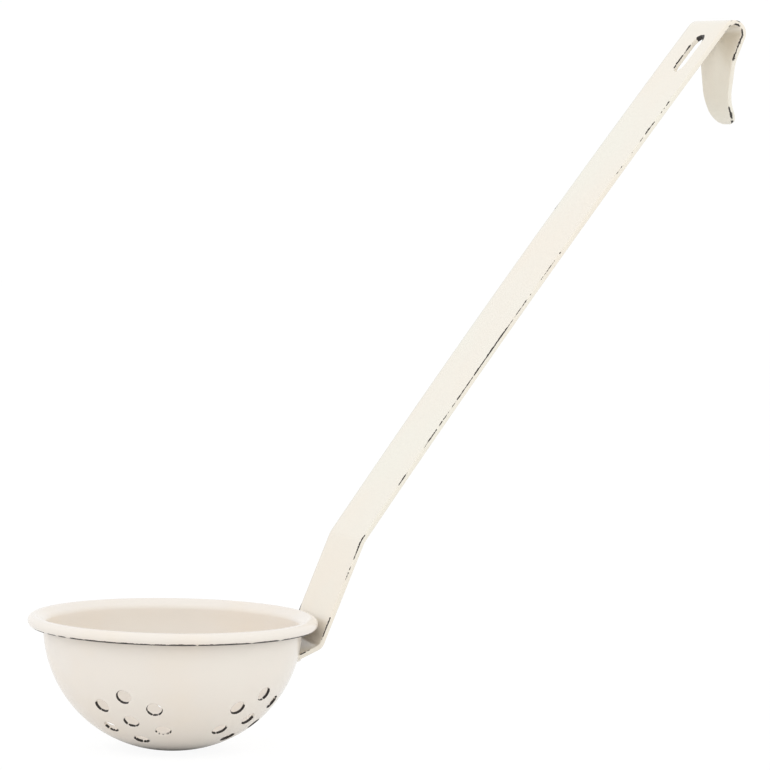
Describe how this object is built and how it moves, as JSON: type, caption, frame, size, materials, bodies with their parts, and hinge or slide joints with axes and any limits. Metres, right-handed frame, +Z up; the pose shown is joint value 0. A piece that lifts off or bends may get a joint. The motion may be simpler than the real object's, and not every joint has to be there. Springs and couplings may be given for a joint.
{
  "type": "straining ladle",
  "caption": "Round enamelled bowl with drain holes and a rolled rim, on a flat bent strip handle that ends in a hanging hook with a slot.",
  "frame": {"origin": "centre of the bowl's flat base, on its underside", "axes": "+Z up along the bowl's axis, +X towards the handle, the handle's width along Y"},
  "size_m": [0.2383, 0.092, 0.2356],
  "materials": {
    "bowl_enamel": "glossy cream vitreous enamel over pressed sheet steel, bare and black along hole edges and under the rim",
    "handle_enamel": "glossy cream vitreous enamel over strip steel, worn to bare black steel in patches along the edges",
    "seam_enamel": "cream enamel run over a fillet weld, slightly darker"
  },
  "bodies": {
    "root": {"bowl": "bowl_enamel", "handle": "handle_enamel", "weld_seam": "seam_enamel"}
  },
  "joints": []
}
